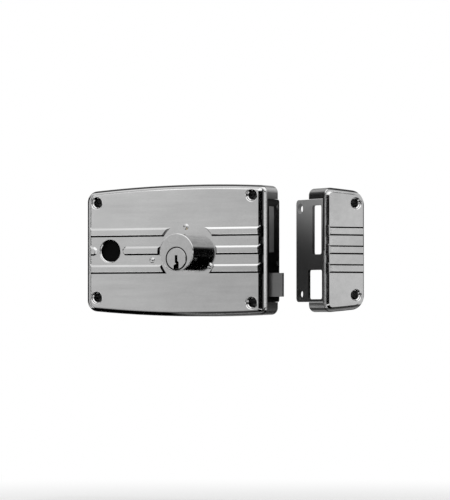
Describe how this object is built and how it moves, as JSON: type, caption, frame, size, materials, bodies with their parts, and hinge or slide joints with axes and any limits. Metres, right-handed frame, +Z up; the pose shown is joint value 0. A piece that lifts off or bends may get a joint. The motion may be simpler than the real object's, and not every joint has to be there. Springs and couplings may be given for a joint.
{
  "type": "door lock",
  "caption": "Surface-mounted rim door lock with a round key cylinder, dead bolt, sprung latch, push button and separate box strike.",
  "frame": {"origin": "on the key cylinder's axis, at the mounting plane where the lock lies on the door", "axes": "+X across the lock towards the strike, +Y into the door (the lock's face looks along -Y), +Z up"},
  "size_m": [0.1978, 0.0767, 0.0926],
  "materials": {
    "nickel": "polished nickel plate",
    "cylinder_nickel": "satin nickel plate",
    "zinc_steel": "zinc plate",
    "dark_steel": "dark polished steel",
    "bolt_steel": "dull nickel",
    "bright_fasteners": "plain",
    "brass": "plain",
    "spring_steel": "plain",
    "black_plastic": "gloss black"
  },
  "bodies": {
    "case": {"front_cover": "nickel", "base_plate": "zinc_steel", "forend": "dark_steel", "forend_screws": "bright_fasteners", "corner_sleeves": "zinc_steel", "cylinder_barrel": "cylinder_nickel", "cylinder_carrier": "zinc_steel", "carrier_rivets": "nickel", "barrel_screws": "bright_fasteners", "driver_pins": "brass", "pin_springs": "spring_steel", "chamber_plugs": "brass", "bolt_guide_post": "zinc_steel", "latch_guide_post": "zinc_steel", "lever_post": "zinc_steel", "post_clips": "spring_steel", "detent_holder": "zinc_steel", "detent_spring": "spring_steel", "detent_screw": "bright_fasteners", "spring_bracket": "zinc_steel", "latch_spring": "spring_steel", "button_tube": "zinc_steel", "button_guide_pin": "zinc_steel"},
    "key_plug": {"cylinder_plug": "cylinder_nickel", "key_pins": "brass", "plug_cam": "brass", "plug_circlip": "spring_steel"},
    "dead_bolt": {"dead_bolt_head": "bolt_steel", "dead_bolt_tail": "zinc_steel", "bolt_rivets": "bright_fasteners"},
    "latch": {"latch_head": "bolt_steel", "latch_tail": "zinc_steel", "latch_rivets": "bright_fasteners"},
    "button": {"push_button": "black_plastic", "button_stem": "zinc_steel"},
    "lever": {"draw_lever": "zinc_steel", "lever_pin": "bright_fasteners"},
    "strike": {"strike_cover": "nickel", "strike_plate": "dark_steel", "strike_sleeves": "zinc_steel"}
  },
  "joints": [
    {"name": "plug_turn", "type": "hinge", "parent": "case", "child": "key_plug", "pos_m": [0, -0.03, -0.0044], "axis": [0, 1, 0], "range_deg": [0, 100]},
    {"name": "dead_bolt_slide", "type": "slide", "parent": "case", "child": "dead_bolt", "axis": [1, 0, 0], "range_m": [0, 0.01762], "deforming": ["detent_spring"]},
    {"name": "latch_slide", "type": "slide", "parent": "case", "child": "latch", "axis": [1, 0, 0], "range_m": [-0.01, 0], "stiffness_N_per_m": 500, "springref_m": 0.01, "deforming": ["latch_spring"]},
    {"name": "button_press", "type": "slide", "parent": "case", "child": "button", "axis": [0, 1, 0], "range_m": [0, 0.007]},
    {"name": "draw_lever_pivot", "type": "hinge", "parent": "case", "child": "lever", "pos_m": [-0.026, -0.0076, -0.00628], "axis": [0, 1, 0], "range_deg": [0, 40]},
    {"name": "strike_swing", "type": "hinge", "parent": "case", "child": "strike", "pos_m": [0.063, 0.019, 0], "axis": [0, 0, 1], "range_deg": [-55, 0]}
  ],
  "couplings": [
    {"joint": "plug_turn", "follows": "dead_bolt_slide", "rad_per_m": 99.059},
    {"joint": "button_press", "follows": "latch_slide", "ratio": -0.7},
    {"joint": "draw_lever_pivot", "follows": "latch_slide", "rad_per_m": -69.813}
  ]
}
